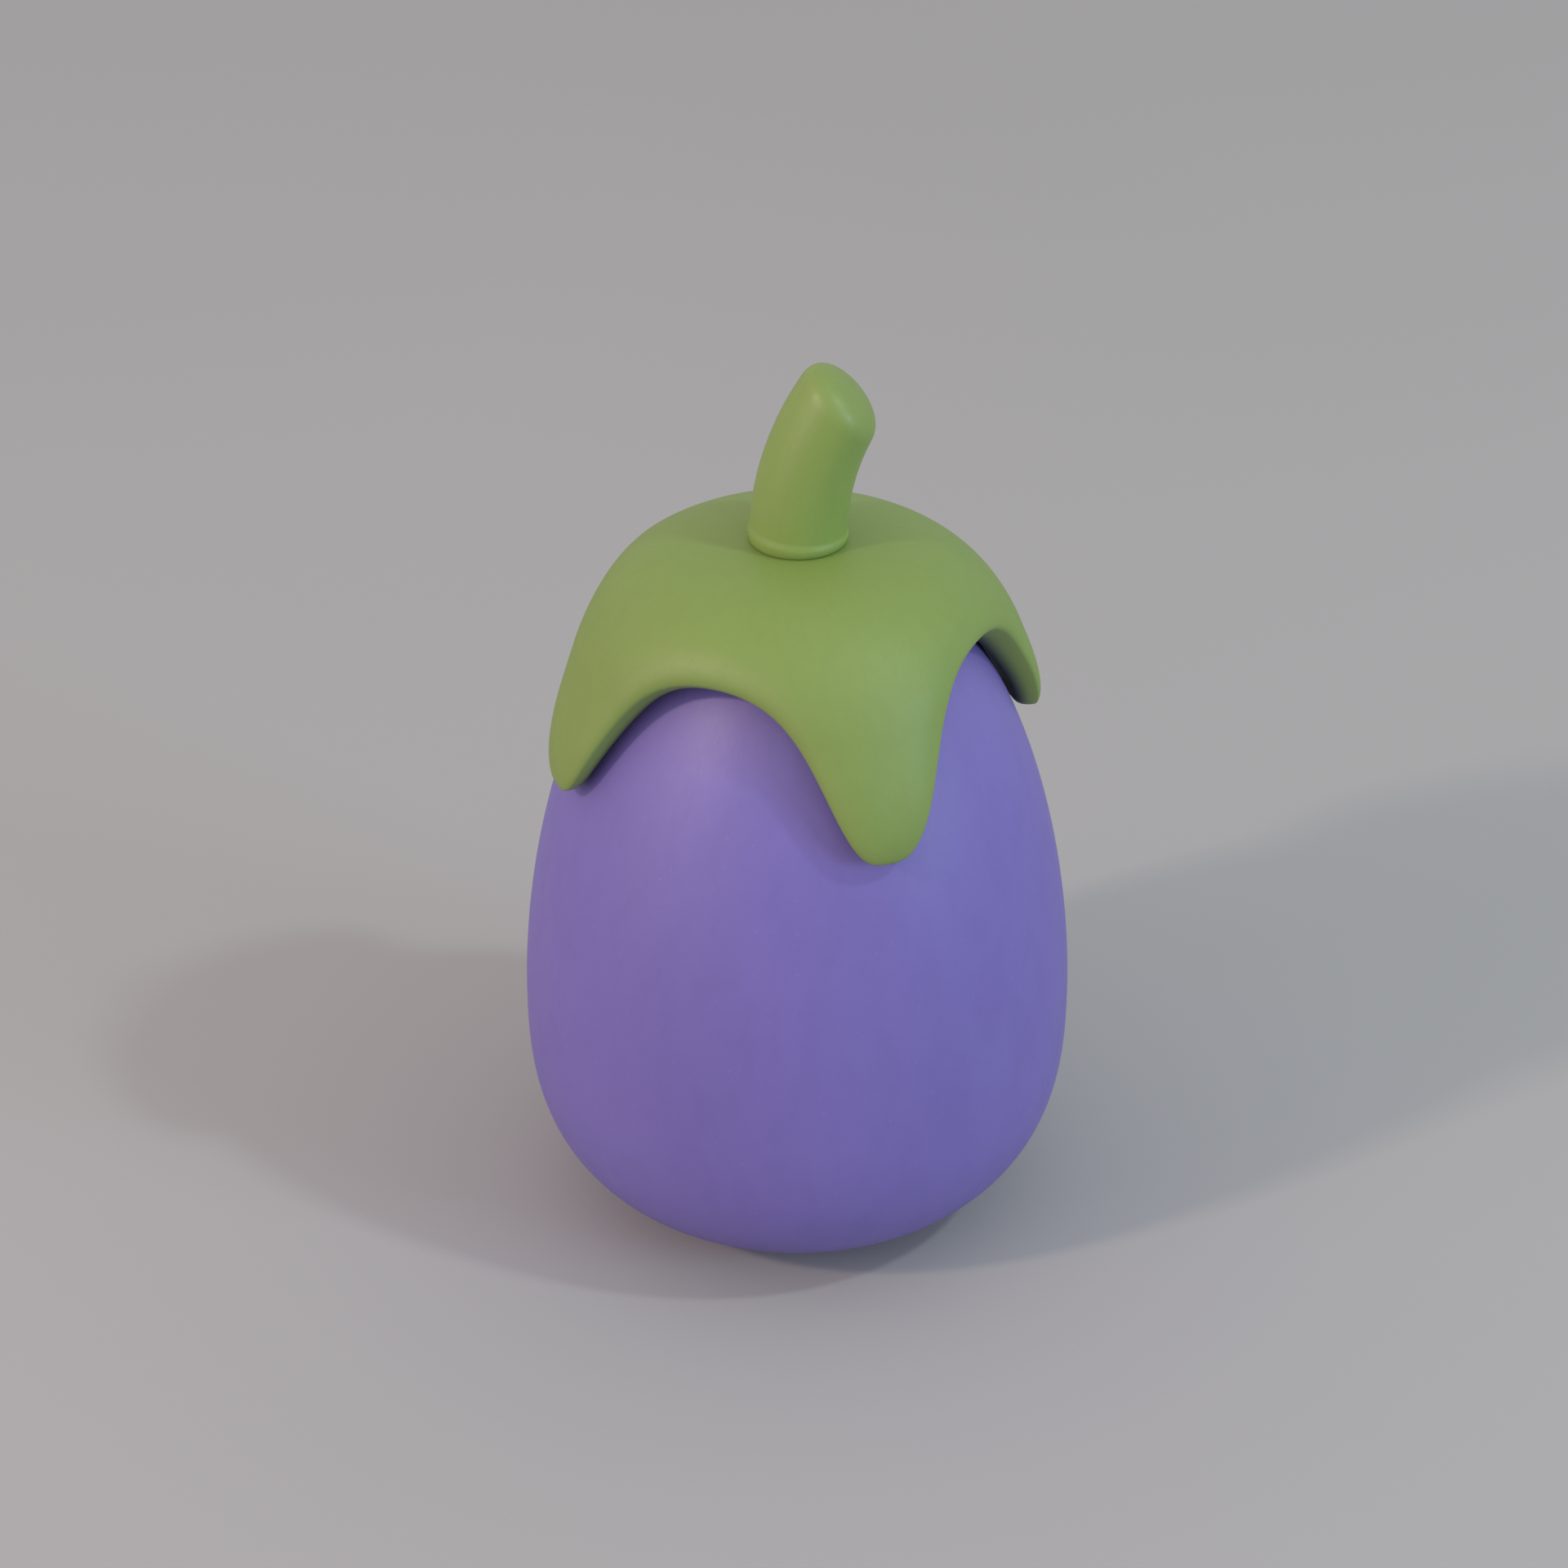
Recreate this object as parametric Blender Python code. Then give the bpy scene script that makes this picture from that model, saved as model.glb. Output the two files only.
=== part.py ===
"""Eggplant: an egg-shaped fruit, a green calyx with four lobes, and a short bent stem.

Run it with: blender --background --python part.py
Units are metres. +Z runs up the fruit's axis, the origin is the centre of the flat spot
that the fruit rests on, and -Y is the side that faces the viewer.
"""
import math

import bmesh
import bpy
import numpy as np

MM = 0.001

# Fruit: a surface of revolution, widest low down.
FRUIT_RADIUS = 50.0 * MM
FRUIT_WIDEST_Z = 42.8 * MM
FRUIT_TOP_Z = 129.0 * MM
FRUIT_FLAT_RADIUS = 17.0 * MM
FRUIT_LOWER_POWER = 2.8
FRUIT_UPPER_POWERS = (2.46, 1.83)
FRUIT_SIDES = 64
FRUIT_LOWER_RINGS = 11
FRUIT_UPPER_RINGS = 18

# Calyx: a domed cap whose edge swings between four lobe tips and four arches.
CALYX_RADIUS = 44.6 * MM
CALYX_BASE_Z = 84.7 * MM
CALYX_HEIGHT = 50.1 * MM
CALYX_POWERS = (3.38, 2.48)
LOBES = 4
LOBE_TURN = math.radians(20.3)
LOBE_TIP_Z = 93.7 * MM
LOBE_ARCH_Z = 123.1 * MM
LOBE_WIDTH = 0.545
LOBE_POWER = 3.1
COLUMNS_PER_LOBE = 26
CALYX_INNER_ROWS = 9

# Calyx thickness: it grows from the crown to the shoulder, and falls again from there
# towards the lobe tips, so that the cap fills the room over the fruit but for a thin gap.
# Radii and heights are the dome's own.
CROWN_THICKNESS = 5.4 * MM
SHOULDER_THICKNESS = 9.3 * MM
TIP_THICKNESS = 4.4 * MM
SHOULDER_RADII = (4.0 * MM, 34.0 * MM)
SHOULDER_Z = 126.0 * MM
THINNING_POWER = 1.5
# The edge is rolled over: how far in the roll reaches against the thickness, outside and
# underneath, and how deep in the thickness the edge itself lies.
EDGE_ROLL = 0.98
EDGE_UNDER_ROLL = 0.45
EDGE_ROLL_POWER = 2.6
EDGE_SHARE = 0.28
EDGE_ROWS = 5
# The lobes flare a little out from the dome towards their tips.
LOBE_FLARE = 1.7 * MM
LOBE_FLARE_RISES = (22.0 * MM, 3.0 * MM)

# Stem: a round rod that starts upright and bends towards +X, cut off at a slant.
# Distances along it start at the crown's surface.
STEM_FOOT_RADIUS = 8.2 * MM
STEM_RADIUS = 8.6 * MM
STEM_END_RADIUS = 8.3 * MM
STEM_LENGTH = 31.6 * MM
STEM_BEND = math.radians(29.0)
STEM_BEND_LENGTH = 26.0 * MM
STEM_END_SLANT = math.radians(15.0)
STEM_END_ROUND = 6.2 * MM
STEM_END_POWERS = (2.2, 2.8)
STEM_SIDES = 32
STEM_RINGS = 14
STEM_END_RINGS = 7
BEAD_HEIGHT = 2.6 * MM
BEAD_PROUD = 0.3 * MM
BEAD_RINGS = 8

# The stem's foot stands in a shallow round recess in the crown, clear of it all round.
CLEARANCE = 0.5 * MM
RECESS_RADIUS = STEM_FOOT_RADIUS + CLEARANCE
RECESS_DEPTH = 1.5 * MM


def remove_scene_objects():
    """Start from an empty scene."""
    for item in list(bpy.data.objects):
        bpy.data.objects.remove(item, do_unlink=True)


def make_material(name, color, roughness):
    """One plain Principled material."""
    material = bpy.data.materials.new(name)
    material.use_nodes = True
    shader = material.node_tree.nodes["Principled BSDF"]
    shader.inputs["Base Color"].default_value = (*color, 1.0)
    shader.inputs["Roughness"].default_value = roughness
    return material


def smooth_step(x, start, end):
    """0 before start, 1 after end, with a smooth rise between them."""
    t = np.clip((x - start) / (end - start), 0.0, 1.0)
    return t * t * (3.0 - 2.0 * t)


def quarter_arc(radius, height, powers, angles):
    """Points (r, z) of a quarter superellipse: its side at angle 0, its top at 90 degrees."""
    radius_power, height_power = powers
    r = radius * np.cos(angles) ** (2.0 / radius_power)
    z = height * np.sin(angles) ** (2.0 / height_power)
    return r, z


def make_solid(name, rings, material, start_pole=None, end_pole=None):
    """A closed node from rings of points, each end closed by a flat face or by a pole."""
    mesh_data = bmesh.new()
    rows = [[mesh_data.verts.new(point) for point in ring] for ring in rings]
    count = len(rows[0])
    for lower, upper in zip(rows, rows[1:]):
        for i in range(count):
            j = (i + 1) % count
            mesh_data.faces.new((lower[i], lower[j], upper[j], upper[i]))
    for row, pole, turn in ((rows[0], start_pole, -1), (rows[-1], end_pole, 1)):
        if pole is None:
            mesh_data.faces.new(row[::turn])
            continue
        centre = mesh_data.verts.new(pole)
        for i in range(count):
            mesh_data.faces.new((row[i], row[(i + 1) % count], centre)[::turn])
    mesh = bpy.data.meshes.new(name)
    mesh_data.to_mesh(mesh)
    mesh_data.free()
    mesh.materials.append(material)
    node = bpy.data.objects.new(name, mesh)
    bpy.context.scene.collection.objects.link(node)
    return node


def circle(radius, z, sides):
    """A level ring of points about the fruit's axis."""
    angles = np.arange(sides) * 2.0 * math.pi / sides
    return [(radius * math.cos(a), radius * math.sin(a), z) for a in angles]


def make_fruit(material):
    """The fruit, from its flat spot up to the top that the calyx hides."""
    flat_share = FRUIT_FLAT_RADIUS / FRUIT_RADIUS
    power = FRUIT_LOWER_POWER
    depth = FRUIT_WIDEST_Z / (1.0 - flat_share ** power) ** (1.0 / power)
    flat_angle = math.acos(flat_share ** (power / 2.0))
    angles = np.linspace(flat_angle, 0.0, FRUIT_LOWER_RINGS, endpoint=False)
    r, drop = quarter_arc(FRUIT_RADIUS, depth, (power, power), angles)
    profile = list(zip(r, FRUIT_WIDEST_Z - drop))
    profile[0] = (FRUIT_FLAT_RADIUS, 0.0)
    angles = np.linspace(0.0, math.pi / 2, FRUIT_UPPER_RINGS, endpoint=False)
    r, rise = quarter_arc(FRUIT_RADIUS, FRUIT_TOP_Z - FRUIT_WIDEST_Z, FRUIT_UPPER_POWERS, angles)
    profile += list(zip(r, FRUIT_WIDEST_Z + rise))
    rings = [circle(radius, z, FRUIT_SIDES) for radius, z in profile]
    return make_solid("fruit", rings, material, end_pole=(0.0, 0.0, FRUIT_TOP_Z))


class CapProfile:
    """The calyx's outer curve, measured by the distance s along it from the crown."""

    def __init__(self):
        angles = np.linspace(math.pi / 2, 0.0, 400)
        self.r, rise = quarter_arc(CALYX_RADIUS, CALYX_HEIGHT, CALYX_POWERS, angles)
        self.z = CALYX_BASE_Z + rise
        steps = np.hypot(np.diff(self.r), np.diff(self.z))
        self.s = np.concatenate([[0.0], np.cumsum(steps)])
        slope_r = np.gradient(self.r, self.s)
        slope_z = np.gradient(self.z, self.s)
        length = np.hypot(slope_r, slope_z)
        self.normal_r = -slope_z / length
        self.normal_z = slope_r / length

    def radius(self, s):
        return np.interp(s, self.s, self.r)

    def height(self, s):
        return np.interp(s, self.s, self.z)

    def distance_at_height(self, z):
        return np.interp(-z, -self.z, self.s)

    def distance_at_radius(self, radius):
        return np.interp(radius, self.r, self.s)

    def point(self, turn, s, depth):
        """The point at angle turn and distance s, sunk by depth below the outer surface."""
        r = np.interp(s, self.s, self.r) - depth * np.interp(s, self.s, self.normal_r)
        z = np.interp(s, self.s, self.z) - depth * np.interp(s, self.s, self.normal_z)
        return np.stack([r * np.sin(turn), -r * np.cos(turn), z], axis=-1)


def edge_height(turn):
    """Height of the calyx's edge at an angle from a lobe's middle."""
    def lobe(x):
        return 1.0 / (1.0 + (np.abs(np.sin(LOBES / 2 * x)) / LOBE_WIDTH) ** LOBE_POWER)
    arch = lobe(math.pi / LOBES)
    share = (lobe(turn) - arch) / (1.0 - arch)
    return LOBE_ARCH_Z + (LOBE_TIP_Z - LOBE_ARCH_Z) * share


def edge_points(cap):
    """Angle and distance of evenly spaced points along one lobe of the calyx's edge."""
    turn = np.linspace(-math.pi / LOBES, math.pi / LOBES, 721)
    s = cap.distance_at_height(edge_height(turn))
    steps = np.hypot(np.diff(turn) * cap.radius(s[1:]), np.diff(s))
    length = np.concatenate([[0.0], np.cumsum(steps)])
    places = np.arange(COLUMNS_PER_LOBE) / COLUMNS_PER_LOBE * length[-1]
    along_turn = np.gradient(turn * cap.radius(s), length)
    along_s = np.gradient(s, length)
    # The inward normal is the edge's direction turned by a quarter, towards the crown.
    inward = np.stack([np.interp(places, length, along_s),
                       -np.interp(places, length, along_turn)], axis=-1)
    inward /= np.linalg.norm(inward, axis=1, keepdims=True)
    return np.interp(places, length, turn), np.interp(places, length, s), inward


def column_path(cap, edge_turn, edge_s, inward, crown_turn, crown_s):
    """A smooth path over the cap, square off the edge and straight into the crown."""
    start_pull = 6.0 * MM
    end_pull = 12.0 * MM
    t = np.linspace(0.0, 1.0, 200)
    weights = [(1 - t) ** 3, 3 * t * (1 - t) ** 2, 3 * t * t * (1 - t), t ** 3]
    turn_knots = [edge_turn, edge_turn + inward[0] * start_pull / cap.radius(edge_s),
                  crown_turn, crown_turn]
    s_knots = [edge_s, edge_s + inward[1] * start_pull, crown_s + end_pull, crown_s]
    turn = sum(w * k for w, k in zip(weights, turn_knots))
    s = sum(w * k for w, k in zip(weights, s_knots))
    steps = np.hypot(np.diff(turn) * cap.radius(s[1:]), np.diff(s))
    return turn, s, np.concatenate([[0.0], np.cumsum(steps)])


def wall_thickness(cap, s):
    """Thickness of the calyx at distance s from the crown."""
    gain = (SHOULDER_THICKNESS - CROWN_THICKNESS) * smooth_step(cap.radius(s), *SHOULDER_RADII)
    drop = np.clip((SHOULDER_Z - cap.height(s)) / (SHOULDER_Z - LOBE_TIP_Z), 0.0, 1.0)
    loss = (SHOULDER_THICKNESS - TIP_THICKNESS) * drop ** THINNING_POWER
    return CROWN_THICKNESS + gain - loss


def lobe_flare(z):
    """How far a lobe stands out from the dome at height z."""
    start, end = LOBE_FLARE_RISES
    return LOBE_FLARE * (1.0 - smooth_step(z, LOBE_TIP_Z + end, LOBE_TIP_Z + start))


def roll(distance, reach):
    """1 at the edge and 0 from reach inwards, along a rounded quarter curve."""
    x = 1.0 - np.clip(distance / reach, 0.0, 1.0)
    return 1.0 - np.sqrt(1.0 - x ** EDGE_ROLL_POWER)


def distance_to_edge(cap, turn, s):
    """Shortest way over the cap from each point to the edge."""
    edge_turn = np.linspace(-1.5, 1.5, 1441) * math.pi / LOBES
    edge_s = cap.distance_at_height(edge_height(edge_turn))
    across = (turn[:, None] - edge_turn) * cap.radius(s)[:, None]
    return np.hypot(across, s[:, None] - edge_s).min(axis=1)


def make_calyx(material):
    """The cap: outer face, rolled edge, inner face, and the recess for the stem."""
    cap = CapProfile()
    crown_s = cap.distance_at_radius(RECESS_RADIUS)
    edge_turn, edge_s, inward = edge_points(cap)
    roll_angles = np.linspace(0.0, math.pi / 2, EDGE_ROWS + 1)
    fractions = np.linspace(0.0, 1.0, CALYX_INNER_ROWS + 1)[1:]
    outer_columns = []
    inner_columns = []
    for lobe in range(LOBES):
        middle = LOBE_TURN + lobe * 2.0 * math.pi / LOBES
        for i in range(COLUMNS_PER_LOBE):
            crown_turn = (i / COLUMNS_PER_LOBE - 0.5) * 2.0 * math.pi / LOBES
            turn, s, length = column_path(
                cap, edge_turn[i], edge_s[i], inward[i], crown_turn, crown_s)
            edge_thickness = wall_thickness(cap, edge_s[i])
            for reach, columns in ((EDGE_ROLL, outer_columns), (EDGE_UNDER_ROLL, inner_columns)):
                near = reach * edge_thickness * (1.0 - np.cos(roll_angles))
                far = near[-1] + (length[-1] - near[-1]) * fractions
                places = np.concatenate([near, far])
                at_turn = np.interp(places, length, turn)
                at_s = np.interp(places, length, s)
                inside = distance_to_edge(cap, at_turn, at_s)
                inside[0] = 0.0
                thickness = wall_thickness(cap, at_s)
                rolled = roll(inside, reach * thickness)
                if columns is outer_columns:
                    depth = thickness * EDGE_SHARE * rolled
                else:
                    depth = thickness * (1.0 - (1.0 - EDGE_SHARE) * rolled)
                depth -= lobe_flare(cap.height(at_s))
                columns.append(cap.point(middle + at_turn, at_s, depth))
    outer = np.array(outer_columns).transpose(1, 0, 2)
    inner = np.array(inner_columns).transpose(1, 0, 2)
    crown_z = outer[-1][0][2]
    floor_ring = outer[-1] * (1.0, 1.0, 0.0) + (0.0, 0.0, crown_z - RECESS_DEPTH)
    rings = [floor_ring] + list(outer[::-1]) + list(inner[1:])
    inner_top = (0.0, 0.0, CALYX_BASE_Z + CALYX_HEIGHT - CROWN_THICKNESS)
    make_solid("calyx", rings[::-1], material, start_pole=inner_top)
    return crown_z


def stem_outline():
    """Distances along the stem and its radius at each, from the foot to the end."""
    foot = CLEARANCE - RECESS_DEPTH
    # The bead is rounded under and runs out softly into the rod.
    half = np.linspace(0.0, 1.0, BEAD_RINGS // 2 + 1)
    bead_radius = STEM_RADIUS + BEAD_PROUD
    under_s = 0.5 * BEAD_HEIGHT * (1.0 - np.cos(math.pi / 2 * half))
    under_r = STEM_FOOT_RADIUS + (bead_radius - STEM_FOOT_RADIUS) * np.sin(math.pi / 2 * half)
    over_s = 0.5 * BEAD_HEIGHT * (1.0 + half[1:])
    over_r = bead_radius - BEAD_PROUD * smooth_step(half[1:], 0.0, 1.0)
    bead_s = CLEARANCE + np.concatenate([under_s, over_s])
    bead_r = np.concatenate([under_r, over_r])
    end_s = STEM_LENGTH - STEM_END_ROUND
    rod_s = np.linspace(bead_s[-1], end_s, STEM_RINGS + 1)[1:]
    taper = (rod_s - bead_s[-1]) / (end_s - bead_s[-1])
    rod_r = STEM_RADIUS + (STEM_END_RADIUS - STEM_RADIUS) * taper
    angles = np.linspace(0.0, math.pi / 2, STEM_END_RINGS + 1)[1:-1]
    round_r, round_s = quarter_arc(STEM_END_RADIUS, STEM_END_ROUND, STEM_END_POWERS, angles)
    distances = np.concatenate([[foot], bead_s, rod_s, end_s + round_s])
    radii = np.concatenate([[STEM_FOOT_RADIUS], bead_r, rod_r, round_r])
    return distances, radii


def stem_centre(distance, crown_z):
    """The stem's centre and lean at a distance: upright, then an arc, then straight on."""
    bend_radius = STEM_BEND_LENGTH / STEM_BEND
    lean = STEM_BEND * np.clip(distance / STEM_BEND_LENGTH, 0.0, 1.0)
    before = np.minimum(distance, 0.0)
    after = np.maximum(distance - STEM_BEND_LENGTH, 0.0)
    x = bend_radius * (1.0 - np.cos(lean)) + after * np.sin(lean)
    z = crown_z + before + bend_radius * np.sin(lean) + after * np.cos(lean)
    return np.array([x, 0.0, z]), lean


def make_stem(material, crown_z):
    """The stem: a foot in the recess, a bead on the crown, and a bent rod with a round end."""
    turns = np.arange(STEM_SIDES)[:, None] * 2.0 * math.pi / STEM_SIDES
    side = np.array([0.0, 1.0, 0.0])
    rings = []
    for distance, radius in zip(*stem_outline()):
        centre, lean = stem_centre(distance, crown_z)
        tilt = lean + STEM_END_SLANT * max(distance, 0.0) / STEM_LENGTH
        across = np.array([math.cos(tilt), 0.0, -math.sin(tilt)])
        rings.append(centre + radius * (np.cos(turns) * across + np.sin(turns) * side))
    end, _ = stem_centre(STEM_LENGTH, crown_z)
    return make_solid("stem", rings, material, end_pole=end)


def main():
    remove_scene_objects()
    skin = make_material("fruit_skin", (0.17, 0.13, 0.41), 0.45)
    leaf = make_material("calyx_green", (0.19, 0.28, 0.06), 0.5)
    stalk = make_material("stem_green", (0.21, 0.31, 0.07), 0.5)
    make_fruit(skin)
    crown_z = make_calyx(leaf)
    make_stem(stalk, crown_z)


main()
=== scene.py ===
"""Looks of a whole eggplant: purple fruit, green calyx with four lobes, short bent stem.

The file is laid out as an add-on. Run as a script, it builds everything in one go.
Units are metres, +Z is up, and -Y is the side that faces the camera.
"""
import math

import bpy
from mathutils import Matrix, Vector


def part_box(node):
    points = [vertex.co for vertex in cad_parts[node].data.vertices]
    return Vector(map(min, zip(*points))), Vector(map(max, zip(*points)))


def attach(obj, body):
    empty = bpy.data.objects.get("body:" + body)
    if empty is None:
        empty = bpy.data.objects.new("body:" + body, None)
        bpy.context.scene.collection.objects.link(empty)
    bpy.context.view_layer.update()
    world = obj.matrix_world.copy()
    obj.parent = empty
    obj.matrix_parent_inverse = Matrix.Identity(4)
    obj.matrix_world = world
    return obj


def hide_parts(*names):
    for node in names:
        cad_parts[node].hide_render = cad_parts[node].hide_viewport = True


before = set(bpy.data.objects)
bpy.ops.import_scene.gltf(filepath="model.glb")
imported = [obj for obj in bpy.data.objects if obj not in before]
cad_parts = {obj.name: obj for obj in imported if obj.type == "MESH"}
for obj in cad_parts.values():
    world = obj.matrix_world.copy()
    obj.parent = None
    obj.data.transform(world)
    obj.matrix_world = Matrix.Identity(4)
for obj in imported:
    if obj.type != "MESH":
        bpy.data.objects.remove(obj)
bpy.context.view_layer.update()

bl_info = {
    "name": "Whole eggplant",
    "version": (1, 0, 0),
    "blender": (4, 5, 0),
    "location": "3D View > Sidebar > Eggplant",
    "description": "Builds a whole eggplant with its calyx, stem, materials, floor and lights",
    "category": "Add Mesh",
}

MM = 0.001
FRUIT_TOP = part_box("fruit")[1]
CALYX_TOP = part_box("calyx")[1]

# Values that the shape trees keep at every point for the materials: a place that follows
# the surface lengthwise, the distance to the calyx's edge, and the painted shade inside the calyx.
GRAIN = "grain"
EDGE_DISTANCE = "edge_distance"
PAINTED_SHADE = "painted_shade"

# The calyx's wall: where it grows from crown to shoulder, and how fast it thins below.
SHOULDER_RADII = (4.0 * MM, 34.0 * MM)
THINNING_POWER = 1.5

# The calyx's rolled edge: the share of the wall that is outside the edge line, how far the
# outer and the inner roll reach in wall thicknesses, and the roll's fullness.
EDGE_SHARE = 0.28
OUTER_ROLL = 0.98
INNER_ROLL = 0.45
ROLL_POWER = 2.6

# Heights above the lobe tips up to which the lobes flare fully, and at all.
FLARE_FULL = 3.0 * MM
FLARE_END = 22.0 * MM

EDGE_LINE_STEPS = 1440
MERGE_DISTANCE = 0.02 * MM

LIGHT_TARGET = (0.0, 0.0, 90.0 * MM)
LIGHT_DISTANCE = 1.6
CAMERA_TARGET = (-2.43 * MM, 0.0, 84.7 * MM)


# Settings, shown in the sidebar.

def length(name, description, default):
    """A size in metres."""
    return bpy.props.FloatProperty(
        name=name, description=description, default=default, min=0.0, precision=4,
        subtype="DISTANCE", unit="LENGTH")


def power(name, description, default):
    """The power of a rounded profile: 2 is round, and more is squarer."""
    return bpy.props.FloatProperty(name=name, description=description, default=default, min=1.0)


def angle(name, description, degrees):
    """An angle, stored in radians."""
    return bpy.props.FloatProperty(
        name=name, description=description, default=math.radians(degrees),
        subtype="ANGLE", unit="ROTATION")


def color(name, description, default):
    """A surface colour."""
    return bpy.props.FloatVectorProperty(
        name=name, description=description, default=default, size=3, min=0.0, max=1.0,
        subtype="COLOR")


def share(name, description, default):
    """A number from 0 to 1."""
    return bpy.props.FloatProperty(
        name=name, description=description, default=default, min=0.0, max=1.0,
        subtype="FACTOR")


def watts(name, description, default):
    """The power of a light."""
    return bpy.props.FloatProperty(
        name=name, description=description, default=default, min=0.0, unit="POWER")


class FruitSettings(bpy.types.PropertyGroup):
    """Sizes and colours of the fruit."""
    radius: length("Radius", "Widest radius of the fruit", FRUIT_TOP[0])
    widest_height: length("Widest height", "Height at which the fruit is widest", 42.8 * MM)
    top_height: length("Top height", "Height of the fruit's top under the calyx", FRUIT_TOP[2])
    flat_radius: length("Flat radius", "Radius of the flat spot that it rests on", 17.0 * MM)
    lower_power: power("Lower power", "Fullness of the fruit below its widest height", 2.8)
    upper_radius_power: power("Upper radius power", "Fullness of the upper sides", 2.46)
    upper_height_power: power("Upper height power", "Fullness of the top", 1.83)
    skin_color: color("Skin", "Main colour of the skin", (0.168, 0.128, 0.420))
    streak_color: color("Streaks", "Colour of the faint lengthwise streaks", (0.133, 0.096, 0.350))
    bloom_color: color("Bloom", "Pale waxy bloom and specks", (0.264, 0.232, 0.502))
    roughness: share("Roughness", "How matt the skin is", 0.45)


class CalyxSettings(bpy.types.PropertyGroup):
    """Sizes and colours of the calyx."""
    radius: length("Radius", "Radius of the dome that the calyx is cut from", 44.6 * MM)
    base_height: length("Base height", "Height at which the dome is widest", 84.7 * MM)
    dome_height: length("Dome height", "Height of the dome above its base", 50.1 * MM)
    radius_power: power("Radius power", "Squareness of the dome's shoulder", 3.38)
    height_power: power("Height power", "Squareness of the dome's sides", 2.48)
    lobe_turn: angle("Lobe turn", "Angle of the front lobe to the right of the front", 20.3)
    tip_height: length("Tip height", "Height of the lobe tips", 93.7 * MM)
    arch_height: length("Arch height", "Height of the edge between two lobes", 123.1 * MM)
    lobe_width: share("Lobe width", "Width of the lobes against the arches", 0.545)
    lobe_power: power("Lobe power", "Squareness of the lobe tips", 3.1)
    flare: length("Lobe flare", "How far the lobe tips stand out from the dome", 1.7 * MM)
    crown_thickness: length("Crown thickness", "Thickness at the middle", 5.4 * MM)
    shoulder_thickness: length("Shoulder thickness", "Thickness at the arches", 9.3 * MM)
    shoulder_height: length("Shoulder height", "Height below which it gets thinner", 126.0 * MM)
    tip_thickness: length("Tip thickness", "Thickness of the lobe tips", 4.4 * MM)
    leaf_color: color("Leaf", "Main colour of the calyx", (0.194, 0.278, 0.063))
    fibre_color: color("Fibres", "Colour of the radiating fibres", (0.163, 0.238, 0.051))
    edge_color: color("Edge", "Paler colour along the edge", (0.250, 0.330, 0.095))
    # The inner face's colour is painted shade: near black, for the shade between the calyx and the
    # fruit.
    inner_shade_color: color("Painted inner shade", "Painted shade, near black, on the inner face", (0.028, 0.040, 0.038))
    roughness: share("Roughness", "How matt the calyx is", 0.5)


class StemSettings(bpy.types.PropertyGroup):
    """Sizes and colours of the stem."""
    crown_height: length("Crown height", "Height of the crown that the stem stands on",
                         CALYX_TOP[2])
    foot_radius: length("Foot radius", "Radius of the foot in its seat", 8.2 * MM)
    foot_depth: length("Foot depth", "Depth of the foot below the crown", 1.0 * MM)
    radius: length("Radius", "Radius of the stem above its bead", 8.6 * MM)
    end_radius: length("End radius", "Radius near the end", 8.3 * MM)
    rod_length: length("Length", "Length from the crown to the end", 31.6 * MM)
    bead_height: length("Bead height", "Height of the bead at the foot", 3.1 * MM)
    bead_proud: length("Bead relief", "How far the bead stands out", 0.3 * MM)
    bend: angle("Bend", "How far the stem leans over", 29.0)
    bend_length: length("Bend length", "Length over which the stem bends", 26.0 * MM)
    end_slant: angle("End slant", "Slant of the rounded end", 15.0)
    end_round: length("End rounding", "Length of the rounded end", 6.2 * MM)
    end_radius_power: power("End radius power", "Fullness of the end's side", 2.2)
    end_height_power: power("End height power", "Fullness of the end's face", 2.8)
    stalk_color: color("Stalk", "Main colour of the stem", (0.211, 0.307, 0.070))
    fibre_color: color("Fibres", "Colour of the lengthwise fibres", (0.178, 0.262, 0.057))
    # The stem is tinted darker towards its end with this colour.
    end_tone_color: color("End tone", "Darker colour towards the end", (0.190, 0.255, 0.065))
    roughness: share("Roughness", "How matt the stem is", 0.42)


class StageSettings(bpy.types.PropertyGroup):
    """Floor, camera and lights."""
    floor_size: length("Floor size", "Side of the square floor", 12.0)
    floor_color: color("Floor", "Colour of the floor", (0.39, 0.38, 0.39))
    camera_distance: length("Camera distance", "From the camera to its aim point", 802.8 * MM)
    camera_elevation: angle("Camera elevation", "Height angle of the camera", 30.7)
    lens: bpy.props.FloatProperty(
        name="Lens", description="Focal length of the camera", default=102.06,
        subtype="DISTANCE_CAMERA", unit="CAMERA")
    warm_key: watts("Warm key", "Small warm light on the left", 8.4)
    warm_fill: watts("Warm fill", "Large warm light, low on the left", 4.2)
    cool_key: watts("Cool key", "Small cool light, high on the right", 5.0)
    cool_fill: watts("Cool fill", "Large cool light, low on the right", 8.2)
    ambient: bpy.props.FloatProperty(
        name="Ambient", description="Strength of the light from all round", default=0.68,
        min=0.0)


# Formulas written as node trees.

class Field:
    """A number inside a node tree. Sums, products and powers of it add Math nodes."""

    def __init__(self, recipe, socket):
        self.recipe = recipe
        self.socket = socket

    def __add__(self, other):
        return self.recipe.math("ADD", self, other)

    def __radd__(self, other):
        return self.recipe.math("ADD", other, self)

    def __sub__(self, other):
        return self.recipe.math("SUBTRACT", self, other)

    def __rsub__(self, other):
        return self.recipe.math("SUBTRACT", other, self)

    def __mul__(self, other):
        return self.recipe.math("MULTIPLY", self, other)

    def __rmul__(self, other):
        return self.recipe.math("MULTIPLY", other, self)

    def __truediv__(self, other):
        return self.recipe.math("DIVIDE", self, other)

    def __rtruediv__(self, other):
        return self.recipe.math("DIVIDE", other, self)

    def __pow__(self, other):
        return self.recipe.math("POWER", self, other)


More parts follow.
